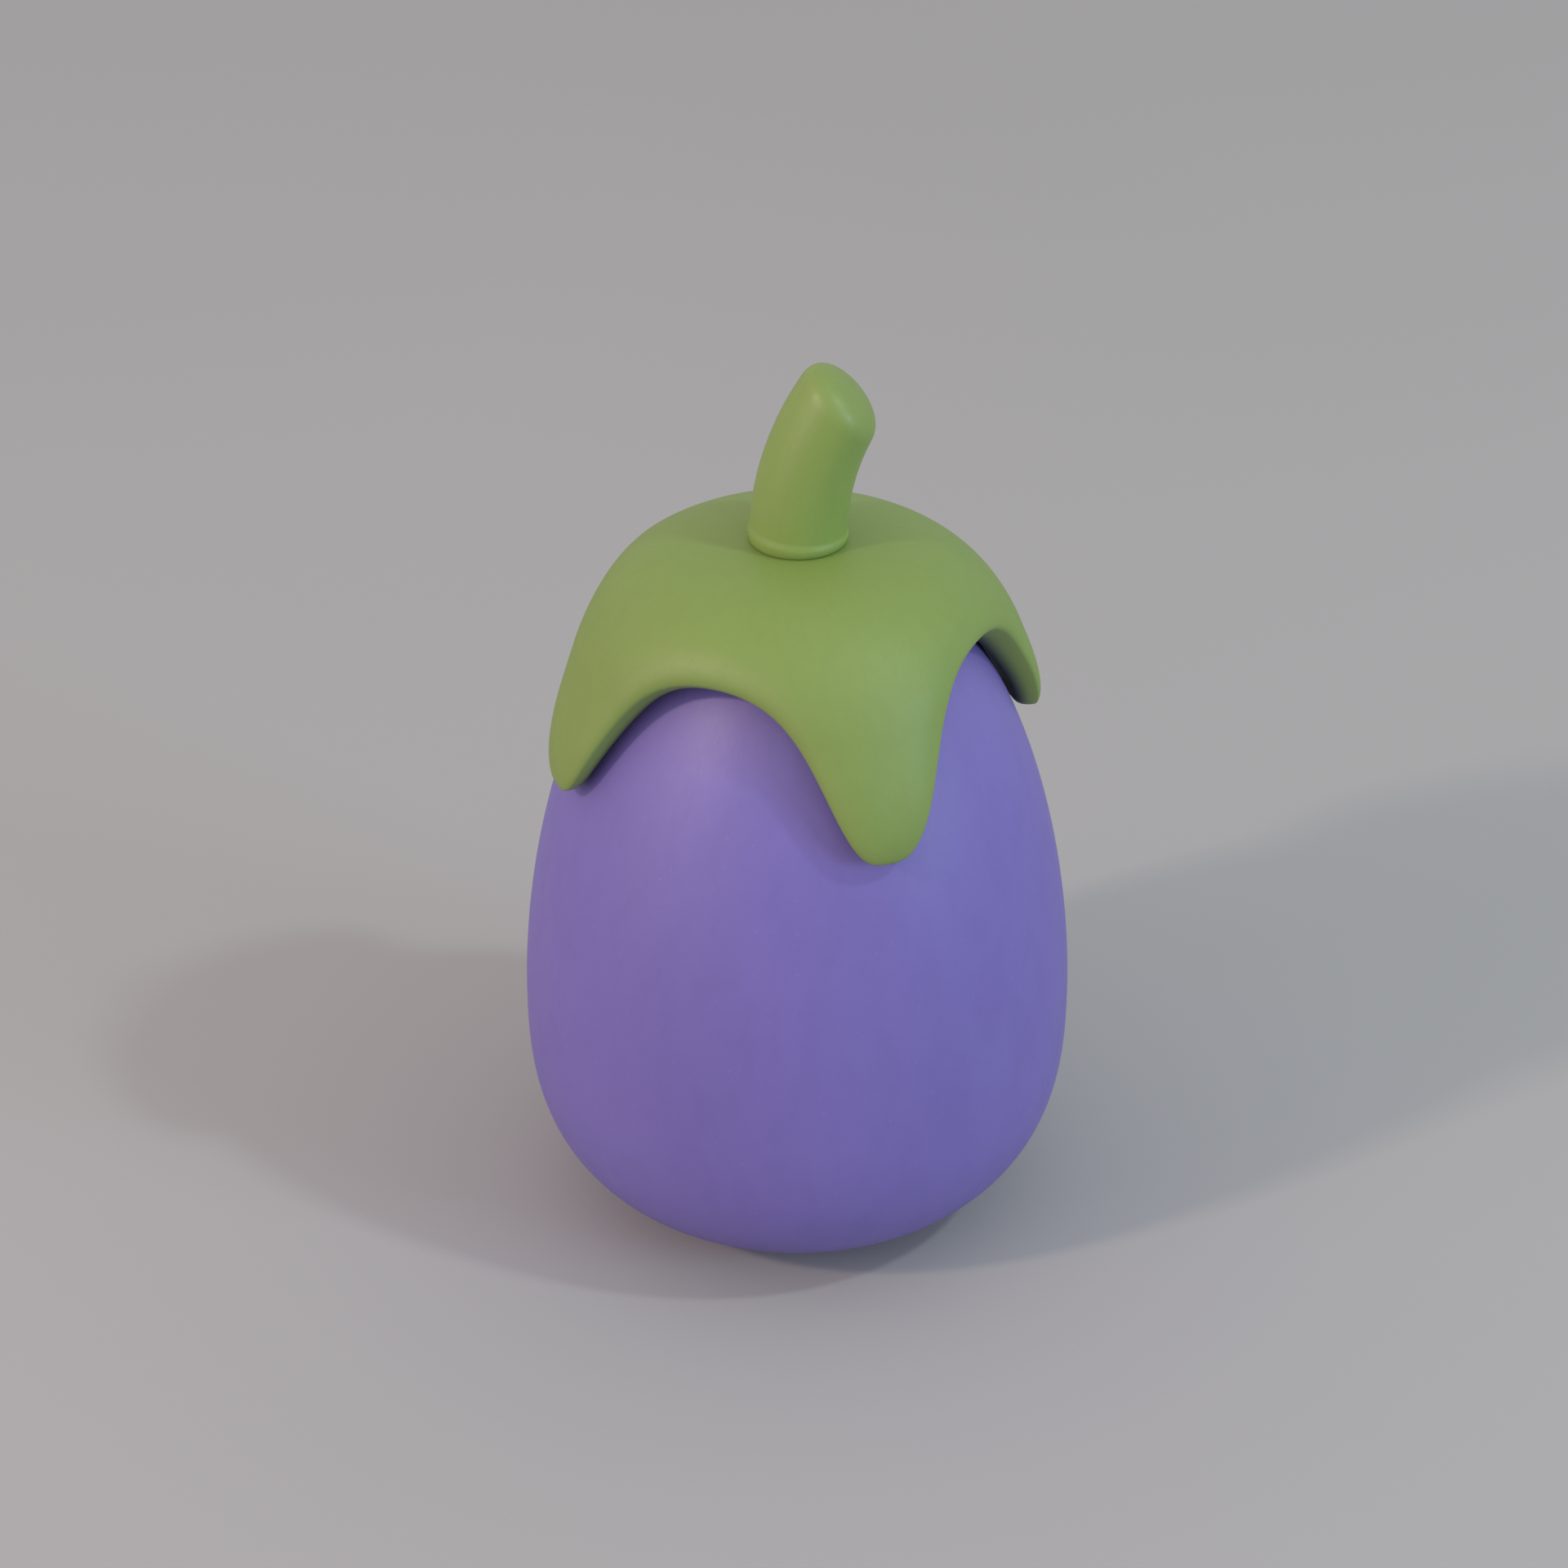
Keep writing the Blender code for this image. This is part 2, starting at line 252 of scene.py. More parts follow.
class Recipe:
    """A node tree that is being filled, with its nodes set out in columns."""
    ROWS = 9
    COLUMN_WIDTH = 200.0
    ROW_HEIGHT = 170.0

    def __init__(self, tree):
        self.tree = tree

    def add(self, kind, **settings):
        """A new node in the next free place."""
        column, row = divmod(len(self.tree.nodes), self.ROWS)
        node = self.tree.nodes.new(kind)
        node.location = (self.COLUMN_WIDTH * column, -self.ROW_HEIGHT * row)
        for name, value in settings.items():
            setattr(node, name, value)
        return node

    def feed(self, socket, value):
        """Link a field or a socket to an input, or set the input to a plain value."""
        if isinstance(value, Field):
            value = value.socket
        if isinstance(value, bpy.types.NodeSocket):
            self.tree.links.new(value, socket)
        else:
            socket.default_value = value

    def math(self, operation, *values):
        """One Math node as a field."""
        node = self.add("ShaderNodeMath", operation=operation)
        for socket, value in zip(node.inputs, values):
            self.feed(socket, value)
        return Field(self, node.outputs[0])

    def sine(self, x):
        return self.math("SINE", x)

    def cosine(self, x):
        return self.math("COSINE", x)

    def root(self, x):
        return self.math("SQRT", x)

    def remap(self, x, from_range, to_range=(0.0, 1.0), style="LINEAR"):
        """x carried from one range to another, held at the range's ends."""
        node = self.add("ShaderNodeMapRange", interpolation_type=style)
        for socket, value in zip(node.inputs, (x, *from_range, *to_range)):
            self.feed(socket, value)
        return Field(self, node.outputs[0])

    def vector(self, x, y, z):
        """A vector from three numbers."""
        node = self.add("ShaderNodeCombineXYZ")
        for socket, value in zip(node.inputs, (x, y, z)):
            self.feed(socket, value)
        return node.outputs[0]

    def split(self, vector):
        """The three numbers of a vector, as fields."""
        node = self.add("ShaderNodeSeparateXYZ")
        self.feed(node.inputs[0], vector)
        return [Field(self, socket) for socket in node.outputs]


class ShapeRecipe(Recipe):
    """A Geometry Nodes tree with named inputs."""

    def __init__(self, name, sizes, counts):
        tree = bpy.data.node_groups.new(name, "GeometryNodeTree")
        tree.is_modifier = True
        super().__init__(tree)
        for label, value in sizes.items():
            socket = tree.interface.new_socket(
                name=label, in_out="INPUT", socket_type="NodeSocketFloat")
            socket.default_value = value
        for label, value in counts.items():
            socket = tree.interface.new_socket(
                name=label, in_out="INPUT", socket_type="NodeSocketInt")
            socket.default_value = value
        tree.interface.new_socket(
            name="Material", in_out="INPUT", socket_type="NodeSocketMaterial")
        tree.interface.new_socket(
            name="Geometry", in_out="OUTPUT", socket_type="NodeSocketGeometry")
        self.inputs = self.add("NodeGroupInput").outputs

    def size(self, label):
        """One of the tree's named inputs."""
        return Field(self, self.inputs[label])

    def choose(self, x, limit, below, above):
        """below where x is under the limit, and above elsewhere."""
        test = self.add("FunctionNodeCompare", data_type="FLOAT", operation="LESS_THAN")
        self.feed(test.inputs["A"], x)
        self.feed(test.inputs["B"], limit)
        switch = self.add("GeometryNodeSwitch", input_type="FLOAT")
        self.feed(switch.inputs["Switch"], test.outputs[0])
        self.feed(switch.inputs["True"], below)
        self.feed(switch.inputs["False"], above)
        return Field(self, switch.outputs[0])

    def staged(self, x, stages):
        """The value of the stage that x is in. Each stage is its upper limit and its value."""
        value = stages[-1][1]
        for limit, lower_value in reversed(stages[:-1]):
            value = self.choose(x, limit, lower_value, value)
        return value

    def grid(self):
        """A flat grid, with its two coordinates running from 0 to 1."""
        grid = self.add("GeometryNodeMeshGrid")
        self.feed(grid.inputs["Size X"], 1.0)
        self.feed(grid.inputs["Size Y"], 1.0)
        self.feed(grid.inputs["Vertices X"], self.size("Columns") + 1.0)
        self.feed(grid.inputs["Vertices Y"], self.size("Rows") + 1.0)
        place = self.add("GeometryNodeInputPosition")
        x, y, _ = self.split(place.outputs[0])
        return grid.outputs["Mesh"], x + 0.5, y + 0.5

    def moved(self, geometry, position):
        """The geometry with its points at a new position."""
        node = self.add("GeometryNodeSetPosition")
        self.feed(node.inputs["Geometry"], geometry)
        self.feed(node.inputs["Position"], position)
        return node.outputs["Geometry"]

    def stored(self, geometry, name, value, data_type):
        """The geometry with a value kept at every point for the material."""
        node = self.add("GeometryNodeStoreNamedAttribute", data_type=data_type, domain="POINT")
        self.feed(node.inputs["Geometry"], geometry)
        self.feed(node.inputs["Name"], name)
        self.feed(node.inputs["Value"], value)
        return node.outputs["Geometry"]

    def finish(self, geometry):
        """Close seams and poles, shade smooth, make real, and give the material."""
        merge = self.add("GeometryNodeMergeByDistance")
        self.feed(merge.inputs["Geometry"], geometry)
        self.feed(merge.inputs["Distance"], MERGE_DISTANCE)
        smooth = self.add("GeometryNodeSetShadeSmooth")
        self.feed(smooth.inputs["Geometry"], merge.outputs["Geometry"])
        real = self.add("GeometryNodeRealizeInstances")
        self.feed(real.inputs["Geometry"], smooth.outputs["Geometry"])
        paint = self.add("GeometryNodeSetMaterial")
        self.feed(paint.inputs["Geometry"], real.outputs["Geometry"])
        self.feed(paint.inputs["Material"], self.inputs["Material"])
        output = self.add("NodeGroupOutput")
        self.feed(output.inputs["Geometry"], paint.outputs["Geometry"])
        return self.tree


def tree_sizes(settings):
    """The settings that a shape tree takes as inputs, by the names shown in the sidebar."""
    return {
        item.name: getattr(settings, item.identifier)
        for item in settings.bl_rna.properties
        if item.type == "FLOAT" and not item.is_array and item.identifier != "roughness"
    }


def grow(name, make_tree, settings, counts, material):
    """A plain mesh piece from its shape tree, with the settings as the tree's inputs."""
    sizes = tree_sizes(settings)
    tree = make_tree(sizes, counts)
    piece = bpy.data.objects.new(name, bpy.data.meshes.new(name))
    bpy.context.scene.collection.objects.link(piece)
    modifier = piece.modifiers.new("Shape", "NODES")
    modifier.node_group = tree
    values = {**sizes, **counts, "Material": material}
    for item in tree.interface.items_tree:
        if item.in_out == "INPUT":
            modifier[item.identifier] = values[item.name]
    depsgraph = bpy.context.evaluated_depsgraph_get()
    mesh = bpy.data.meshes.new_from_object(
        piece.evaluated_get(depsgraph), preserve_all_data_layers=True, depsgraph=depsgraph)
    piece.modifiers.clear()
    piece.data = mesh
    mesh.name = name
    # Set Material leaves an empty slot ahead of its own.
    if mesh.materials[0] is None:
        mesh.materials.pop(index=0)
    if not mesh.polygons:
        raise RuntimeError(f"the {name} tree made no faces")
    return piece


def carry(piece, node):
    """The piece stands for a node of the frame and follows its body."""
    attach(piece, "root")
    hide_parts(node)


# Shapes.

def fruit_tree(sizes, counts):
    """A surface of revolution: a flat spot, a full lower part and a narrower upper part."""
    shape = ShapeRecipe("Fruit shape", sizes, counts)
    radius = shape.size("Radius")
    widest = shape.size("Widest height")
    flat_radius = shape.size("Flat radius")
    lower_power = shape.size("Lower power")
    grid, around, along = shape.grid()
    # Shares of the rows at which the flat spot and the lower part end.
    flat_end, lower_end = 0.05, 0.4

    flat_share = flat_radius / radius
    depth = widest / (1.0 - flat_share ** lower_power) ** (1.0 / lower_power)
    flat_angle = shape.math("ARCCOSINE", flat_share ** (lower_power / 2.0))
    lower_angle = flat_angle * shape.remap(along, (flat_end, lower_end), (1.0, 0.0))
    lower_r = radius * shape.cosine(lower_angle) ** (2.0 / lower_power)
    lower_z = widest - depth * shape.sine(lower_angle) ** (2.0 / lower_power)

    upper_angle = shape.remap(along, (lower_end, 1.0), (0.0, math.pi / 2))
    upper_r = radius * shape.math("ABSOLUTE", shape.cosine(upper_angle)) ** (
        2.0 / shape.size("Upper radius power"))
    rise = shape.sine(upper_angle) ** (2.0 / shape.size("Upper height power"))
    upper_z = widest + (shape.size("Top height") - widest) * rise

    flat_r = flat_radius * along / flat_end
    r = shape.staged(along, [(flat_end, flat_r), (lower_end, lower_r), (1.0, upper_r)])
    z = shape.staged(along, [(flat_end, 0.0), (lower_end, lower_z), (1.0, upper_z)])
    turn = around * math.tau
    across = shape.cosine(turn)
    side = shape.sine(turn)
    stored = shape.stored(grid, GRAIN, shape.vector(across, side, z), "FLOAT_VECTOR")
    return shape.finish(shape.moved(stored, shape.vector(r * across, r * side, z)))


def calyx_edge_height(shape, turn):
    """Height of the calyx's edge at an angle from a lobe's middle, for four lobes."""
    width = shape.size("Lobe width")
    lobe_power = shape.size("Lobe power")
    wave = shape.math("ABSOLUTE", shape.sine(turn * 2.0))
    lobe = 1.0 / (1.0 + (wave / width) ** lobe_power)
    arch = 1.0 / (1.0 + (1.0 / width) ** lobe_power)
    arch_height = shape.size("Arch height")
    return arch_height + (shape.size("Tip height") - arch_height) * (lobe - arch) / (1.0 - arch)


def calyx_dome(shape, dome_angle):
    """Radius, height and outward direction of the dome at a profile angle."""
    radius = shape.size("Radius")
    dome_height = shape.size("Dome height")
    radius_power = shape.size("Radius power")
    height_power = shape.size("Height power")
    r_share = shape.math("ABSOLUTE", shape.cosine(dome_angle)) ** (2.0 / radius_power)
    z_share = shape.sine(dome_angle) ** (2.0 / height_power)
    out_r = radius_power / radius * r_share ** (radius_power - 1.0)
    out_z = height_power / dome_height * z_share ** (height_power - 1.0)
    out_length = shape.root(out_r * out_r + out_z * out_z)
    r = radius * r_share
    z = shape.size("Base height") + dome_height * z_share
    return r, z, out_r / out_length, out_z / out_length


def calyx_point(shape, turn, r, z):
    """A place at an angle, a radius and a height, with the front lobe turned right."""
    whole_turn = turn + shape.size("Lobe turn")
    return shape.vector(r * shape.sine(whole_turn), r * shape.cosine(whole_turn) * -1.0, z)


def calyx_edge_angle(shape, turn):
    """Profile angle of the dome at the calyx's edge."""
    z_share = (calyx_edge_height(shape, turn) - shape.size("Base height")) / shape.size(
        "Dome height")
    return shape.math("ARCSINE", z_share ** (shape.size("Height power") / 2.0))


def calyx_edge_line(shape):
    """The calyx's edge on the dome as a fine closed line."""
    line = shape.add("GeometryNodeMeshLine")
    shape.feed(line.inputs["Count"], EDGE_LINE_STEPS + 1)
    shape.feed(line.inputs["Offset"], (1.0 / EDGE_LINE_STEPS, 0.0, 0.0))
    place = shape.add("GeometryNodeInputPosition")
    turn = shape.split(place.outputs[0])[0] * math.tau
    r, z, _, _ = calyx_dome(shape, calyx_edge_angle(shape, turn))
    return shape.moved(line.outputs["Mesh"], calyx_point(shape, turn, r, z))


def edge_roll(shape, distance, reach):
    """1 at the edge and 0 from reach inwards, along a rounded quarter curve."""
    x = shape.remap(distance, (0.0, reach), (1.0, 0.0))
    return 1.0 - shape.root(1.0 - x ** ROLL_POWER)


def calyx_tree(sizes, counts):
    """A domed cap with four lobes: inner face, rolled edge and outer face."""
    shape = ShapeRecipe("Calyx shape", sizes, counts)
    grid, around, along = shape.grid()
    turn = around * math.tau
    inner_end = 0.4

    # Up to inner_end the rows run down the inner face to the edge, then up the outer face.
    # Both have their rows closer together near the edge.
    edge_angle = calyx_edge_angle(shape, turn)
    down = shape.remap(along, (0.0, inner_end), (1.0, 0.0))
    rise = (down + shape.remap(along, (inner_end, 1.0))) ** 2.0
    dome_angle = edge_angle + (math.pi / 2 - edge_angle) * rise
    r, z, out_r, out_z = calyx_dome(shape, dome_angle)

    near = shape.add("GeometryNodeProximity", target_element="EDGES")
    shape.feed(near.inputs[0], calyx_edge_line(shape))
    shape.feed(near.inputs["Sample Position"], calyx_point(shape, turn, r, z))
    distance = Field(shape, near.outputs["Distance"])

    # The wall thickens from the crown to the shoulder, and thins down to the lobe tips.
    crown = shape.size("Crown thickness")
    shoulder = shape.size("Shoulder thickness")
    gain = shape.remap(r, SHOULDER_RADII, (0.0, 1.0), "SMOOTHSTEP")
    tip = shape.size("Tip height")
    drop = shape.remap(z, (tip, shape.size("Shoulder height")), (1.0, 0.0))
    loss = (shoulder - shape.size("Tip thickness")) * drop ** THINNING_POWER
    thickness = crown + (shoulder - crown) * gain - loss

    # Both faces roll towards the edge line, and the lobes flare out near their tips.
    outer_roll = edge_roll(shape, distance, thickness * OUTER_ROLL)
    outer_depth = thickness * EDGE_SHARE * outer_roll
    under = (1.0 - EDGE_SHARE) * edge_roll(shape, distance, thickness * INNER_ROLL)
    inner_share = 1.0 - under
    inner_depth = thickness * inner_share
    flare = shape.size("Lobe flare") * shape.remap(
        z, (tip + FLARE_FULL, tip + FLARE_END), (1.0, 0.0), "SMOOTHSTEP")
    depth = shape.choose(along, inner_end, inner_depth, outer_depth) - flare

    grain = calyx_point(shape, turn, 1.0, r - z)
    stored = shape.stored(grid, GRAIN, grain, "FLOAT_VECTOR")
    stored = shape.stored(stored, EDGE_DISTANCE, distance, "FLOAT")
    # Painted shade: the material darkens to near black from halfway through the wall to the
    # inner face, for the shade between the calyx and the fruit.
    shade_mask = shape.remap(inner_share, (0.5, 1.0), style="SMOOTHSTEP")
    painted_shade = shape.choose(along, inner_end, shade_mask, 0.0)
    stored = shape.stored(stored, PAINTED_SHADE, painted_shade, "FLOAT")
    place = calyx_point(shape, turn, r - depth * out_r, z - depth * out_z)
    return shape.finish(shape.moved(stored, place))


def stem_tree(sizes, counts):
    """A bent rod: foot, bead, slightly tapering rod and slanted round end."""
    shape = ShapeRecipe("Stem shape", sizes, counts)
    grid, around, along = shape.grid()
    # Shares of the rows at which each stage ends, from the sole to the rounded end.
    sole_end, foot_end, under_end, bead_end, rod_end = 0.03, 0.06, 0.16, 0.26, 0.7
    radius = shape.size("Radius")
    end_radius = shape.size("End radius")
    foot_radius = shape.size("Foot radius")
    foot_depth = shape.size("Foot depth")
    bead_height = shape.size("Bead height")
    rod_length = shape.size("Length")
    end_round = shape.size("End rounding")
    end_start = rod_length - end_round

    sole_r = foot_radius * shape.remap(along, (0.0, sole_end))
    foot_s = foot_depth * shape.remap(along, (sole_end, foot_end), (-1.0, 0.0))
    # The bead is rounded under and runs out softly into the rod.
    proud = shape.size("Bead relief")
    under_angle = shape.remap(along, (foot_end, under_end), (0.0, math.pi / 2))
    under_s = bead_height * 0.5 * (1.0 - shape.cosine(under_angle))
    under_r = foot_radius + (radius + proud - foot_radius) * shape.sine(under_angle)
    over_s = bead_height * 0.5 * (1.0 + shape.remap(along, (under_end, bead_end)))
    over_r = radius + proud * shape.remap(along, (under_end, bead_end), (1.0, 0.0), "SMOOTHSTEP")
    taper = shape.remap(along, (bead_end, rod_end))
    rod_s = bead_height + (end_start - bead_height) * taper
    rod_r = radius + (end_radius - radius) * taper
    end_angle = shape.remap(along, (rod_end, 1.0), (0.0, math.pi / 2))
    end_r = end_radius * shape.math("ABSOLUTE", shape.cosine(end_angle)) ** (
        2.0 / shape.size("End radius power"))
    end_s = end_start + end_round * shape.sine(end_angle) ** (
        2.0 / shape.size("End height power"))
    r = shape.staged(along, [(sole_end, sole_r), (foot_end, foot_radius), (under_end, under_r),
                             (bead_end, over_r), (rod_end, rod_r), (1.0, end_r)])
    s = shape.staged(along, [(sole_end, foot_depth * -1.0), (foot_end, foot_s),
                             (under_end, under_s), (bead_end, over_s), (rod_end, rod_s),
                             (1.0, end_s)])

    # The centre line goes straight up, then along an arc, then straight on.
    bend = shape.size("Bend")
    bend_length = shape.size("Bend length")
    bend_radius = bend_length / bend
    lean = bend * shape.remap(s, (0.0, bend_length))
    before = shape.math("MINIMUM", s, 0.0)
    after = shape.math("MAXIMUM", s - bend_length, 0.0)
    centre_x = bend_radius * (1.0 - shape.cosine(lean)) + after * shape.sine(lean)
    centre_z = (shape.size("Crown height") + before + bend_radius * shape.sine(lean)
                + after * shape.cosine(lean))
    tilt = lean + shape.size("End slant") * shape.math("MAXIMUM", s, 0.0) / rod_length
    turn = around * math.tau
    across = shape.cosine(turn)
    side = shape.sine(turn)
    place = shape.vector(centre_x + r * across * shape.cosine(tilt), r * side,
                         centre_z - r * across * shape.sine(tilt))
    stored = shape.stored(grid, GRAIN, shape.vector(across, side, s), "FLOAT_VECTOR")
    return shape.finish(shape.moved(stored, place))


# Effects that several materials share, as node groups that put out masks.

def effect_group(name, inputs, outputs):
    """An empty shader group with named sockets, and its recipe."""
    tree = bpy.data.node_groups.new(name, "ShaderNodeTree")
    for label, (kind, value) in inputs.items():
        socket = tree.interface.new_socket(name=label, in_out="INPUT", socket_type=kind)
        if value is not None:
            socket.default_value = value
    for label in outputs:
        tree.interface.new_socket(name=label, in_out="OUTPUT", socket_type="NodeSocketFloat")
    recipe = Recipe(tree)
    return recipe, recipe.add("NodeGroupInput"), recipe.add("NodeGroupOutput")


def noise(recipe, vector, scale, detail=2.0, roughness=0.5):
    """A noise value from 0 to 1."""
    node = recipe.add("ShaderNodeTexNoise")
    recipe.feed(node.inputs["Vector"], vector)
    recipe.feed(node.inputs["Scale"], scale)
    recipe.feed(node.inputs["Detail"], detail)
    recipe.feed(node.inputs["Roughness"], roughness)
    return Field(recipe, node.outputs[0])


def streaks_group():
    """Streaks or fibres that run lengthwise: a coarse mask and a fine one."""
    recipe, source, output = effect_group(
        "Lengthwise streaks",
        {"Grain": ("NodeSocketVector", None), "Density": ("NodeSocketFloat", 20.0),
         "Stretch": ("NodeSocketFloat", 30.0), "Fine density": ("NodeSocketFloat", 80.0)},
        ("Coarse", "Fine"))
    x, y, z = recipe.split(source.outputs["Grain"])
    stretch = Field(recipe, source.outputs["Stretch"])
    place = recipe.vector(x, y, z * stretch)
    coarse = noise(recipe, place, source.outputs["Density"], 3.0)
    fine = noise(recipe, place, source.outputs["Fine density"], 2.0, 0.6)
    recipe.feed(output.inputs["Coarse"], recipe.remap(coarse, (0.42, 0.66), style="SMOOTHSTEP"))
    recipe.feed(output.inputs["Fine"], recipe.remap(fine, (0.3, 0.7)))
    return recipe.tree


def specks_group():
    """Small round specks, scattered and of uneven strength."""
    recipe, source, output = effect_group(
        "Specks",
        {"Place": ("NodeSocketVector", None), "Scale": ("NodeSocketFloat", 400.0),
         "Size": ("NodeSocketFloat", 0.12)},
        ("Specks",))
    cells = recipe.add("ShaderNodeTexVoronoi")
    recipe.feed(cells.inputs["Vector"], source.outputs["Place"])
    recipe.feed(cells.inputs["Scale"], source.outputs["Scale"])
    size = Field(recipe, source.outputs["Size"])
    dot = recipe.remap(cells.outputs["Distance"], (size * 0.4, size), (1.0, 0.0), "SMOOTHSTEP")
    # Each cell's random red decides whether its speck shows, and how strongly.
    red = recipe.split(cells.outputs["Color"])[0]
    kept = recipe.remap(red, (0.45, 0.9))
    recipe.feed(output.inputs["Specks"], dot * kept)
    return recipe.tree


def drift_group():
    """Broad, soft patches of a slightly different tone."""
    recipe, source, output = effect_group(
        "Tone drift",
        {"Place": ("NodeSocketVector", None), "Scale": ("NodeSocketFloat", 25.0)},
        ("Drift",))
    broad = noise(recipe, source.outputs["Place"], source.outputs["Scale"], 2.0)
    recipe.feed(output.inputs["Drift"], recipe.remap(broad, (0.3, 0.7), style="SMOOTHSTEP"))
    return recipe.tree


def grain_group():
    """The very fine unevenness of a waxy plant skin, as a height."""
    recipe, source, output = effect_group(
        "Fine grain",
        {"Place": ("NodeSocketVector", None), "Scale": ("NodeSocketFloat", 900.0)},
        ("Height",))
    scale = Field(recipe, source.outputs["Scale"])
    fine = noise(recipe, source.outputs["Place"], scale, 3.0, 0.6)
    broad = noise(recipe, source.outputs["Place"], scale * 0.12, 2.0)
    recipe.feed(output.inputs["Height"], fine * 0.5 + broad * 0.5)
    return recipe.tree


EFFECTS = {
    "Lengthwise streaks": streaks_group,
    "Specks": specks_group,
    "Tone drift": drift_group,
    "Fine grain": grain_group,
}


class MaterialRecipe(Recipe):
    """A material's node tree around its Principled shader."""

    def __init__(self, name):
        self.material = bpy.data.materials.new(name)
        self.material.use_nodes = True
        super().__init__(self.material.node_tree)
        self.shader = self.tree.nodes["Principled BSDF"]
        self.shader.location = (1400.0, 200.0)
        self.tree.nodes["Material Output"].location = (1750.0, 200.0)
        self.place = self.add("ShaderNodeTexCoord").outputs["Object"]

    def attribute(self, name, output):
        """A value that the shape tree kept at every point."""
        node = self.add("ShaderNodeAttribute", attribute_name=name)
        return node.outputs[output]

    def effect(self, name, **values):
        """A shared effect with this material's own values. Returns its outputs."""
        group = bpy.data.node_groups.get(name) or EFFECTS[name]()
        node = self.add("ShaderNodeGroup", node_tree=group)
        for label, value in values.items():
            self.feed(node.inputs[label.replace("_", " ").capitalize()], value)
        return {socket.name: Field(self, socket) for socket in node.outputs}

    def tint(self, base, other, mask):
        """The base colour mixed towards another one by a mask."""
        node = self.add("ShaderNodeMix", data_type="RGBA")
        for label, value in (("Factor_Float", mask), ("A_Color", base), ("B_Color", other)):
            socket = next(item for item in node.inputs if item.identifier == label)
            self.feed(socket, value)
        return next(item for item in node.outputs if item.identifier == "Result_Color")

    def bump(self, height, distance):
        """Relief from a height mask, at full strength."""
        node = self.add("ShaderNodeBump")
        self.feed(node.inputs["Height"], height)
        self.feed(node.inputs["Distance"], distance)
        self.feed(node.inputs["Strength"], 1.0)
        self.feed(self.shader.inputs["Normal"], node.outputs[0])


def rgba(settings_color):
    """A colour setting with full opacity."""
    return (*settings_color, 1.0)


def streak_mask(streaks, coarse, fine):
    """How much the coarse and the fine streaks show, added up."""
    return streaks["Coarse"] * coarse + streaks["Fine"] * fine


def skin_material(settings):
    """Satin purple skin: faint streaks, tiny pale specks and a soft bloom near the top."""
    skin = MaterialRecipe("eggplant_skin")
    grain = skin.attribute(GRAIN, "Vector")
    streaks = skin.effect("Lengthwise streaks", grain=grain, density=9.0, stretch=12.0,
                          fine_density=42.0)
    drift = skin.effect("Tone drift", place=skin.place, scale=22.0)["Drift"]
    specks = skin.effect("Specks", place=skin.place, scale=420.0, size=0.16)["Specks"]
    height = skin.split(skin.place)[2]
    bloom_start, bloom_full = 85.0 * MM, 125.0 * MM
    top = skin.remap(height, (bloom_start, bloom_full), style="SMOOTHSTEP")

    tone = skin.tint(rgba(settings.skin_color), rgba(settings.streak_color),
                     streak_mask(streaks, coarse=0.16, fine=0.08))
    tone = skin.tint(tone, rgba(settings.bloom_color), drift * 0.06 + top * 0.10)
    tone = skin.tint(tone, rgba(settings.bloom_color), specks * 0.2)
    skin.feed(skin.shader.inputs["Base Color"], tone)
    rough = settings.roughness + drift * 0.05 + streaks["Fine"] * 0.03
    skin.feed(skin.shader.inputs["Roughness"], rough)
    fine = skin.effect("Fine grain", place=skin.place, scale=1400.0)["Height"]
    skin.bump(fine + specks * 0.3, 0.03 * MM)
    return skin.material


def calyx_material(settings):
    """Matt green leaf: fibres, mottled tone, a paler rolled edge and painted shade on the inner
    face.
    """
    leaf = MaterialRecipe("eggplant_calyx")
    grain = leaf.attribute(GRAIN, "Vector")
    edge_distance = Field(leaf, leaf.attribute(EDGE_DISTANCE, "Fac"))
    fibres = leaf.effect("Lengthwise streaks", grain=grain, density=14.0, stretch=14.0,
                         fine_density=60.0)
    drift = leaf.effect("Tone drift", place=leaf.place, scale=38.0)["Drift"]
    specks = leaf.effect("Specks", place=leaf.place, scale=520.0, size=0.2)["Specks"]
    painted_shade = Field(leaf, leaf.attribute(PAINTED_SHADE, "Fac"))
    rim_width = 5.0 * MM
    rim = leaf.remap(edge_distance, (0.0, rim_width), (1.0, 0.0), "SMOOTHSTEP")

    tone = leaf.tint(rgba(settings.leaf_color), rgba(settings.fibre_color),
                     streak_mask(fibres, coarse=0.12, fine=0.08))
    tone = leaf.tint(tone, rgba(settings.edge_color), rim * 0.2 + drift * 0.06)
    tone = leaf.tint(tone, rgba(settings.edge_color), specks * 0.12)
    # Painted shade: the inner face is tinted towards near black.
    tone = leaf.tint(tone, rgba(settings.inner_shade_color), painted_shade * 0.95)
    leaf.feed(leaf.shader.inputs["Base Color"], tone)
    rough = settings.roughness + fibres["Fine"] * 0.05
    leaf.feed(leaf.shader.inputs["Roughness"], rough)
    fine = leaf.effect("Fine grain", place=leaf.place, scale=1100.0)["Height"]
    leaf.bump(fine * 0.6 + fibres["Fine"] * 0.4 + fibres["Coarse"] * 0.4, 0.025 * MM)
    return leaf.material


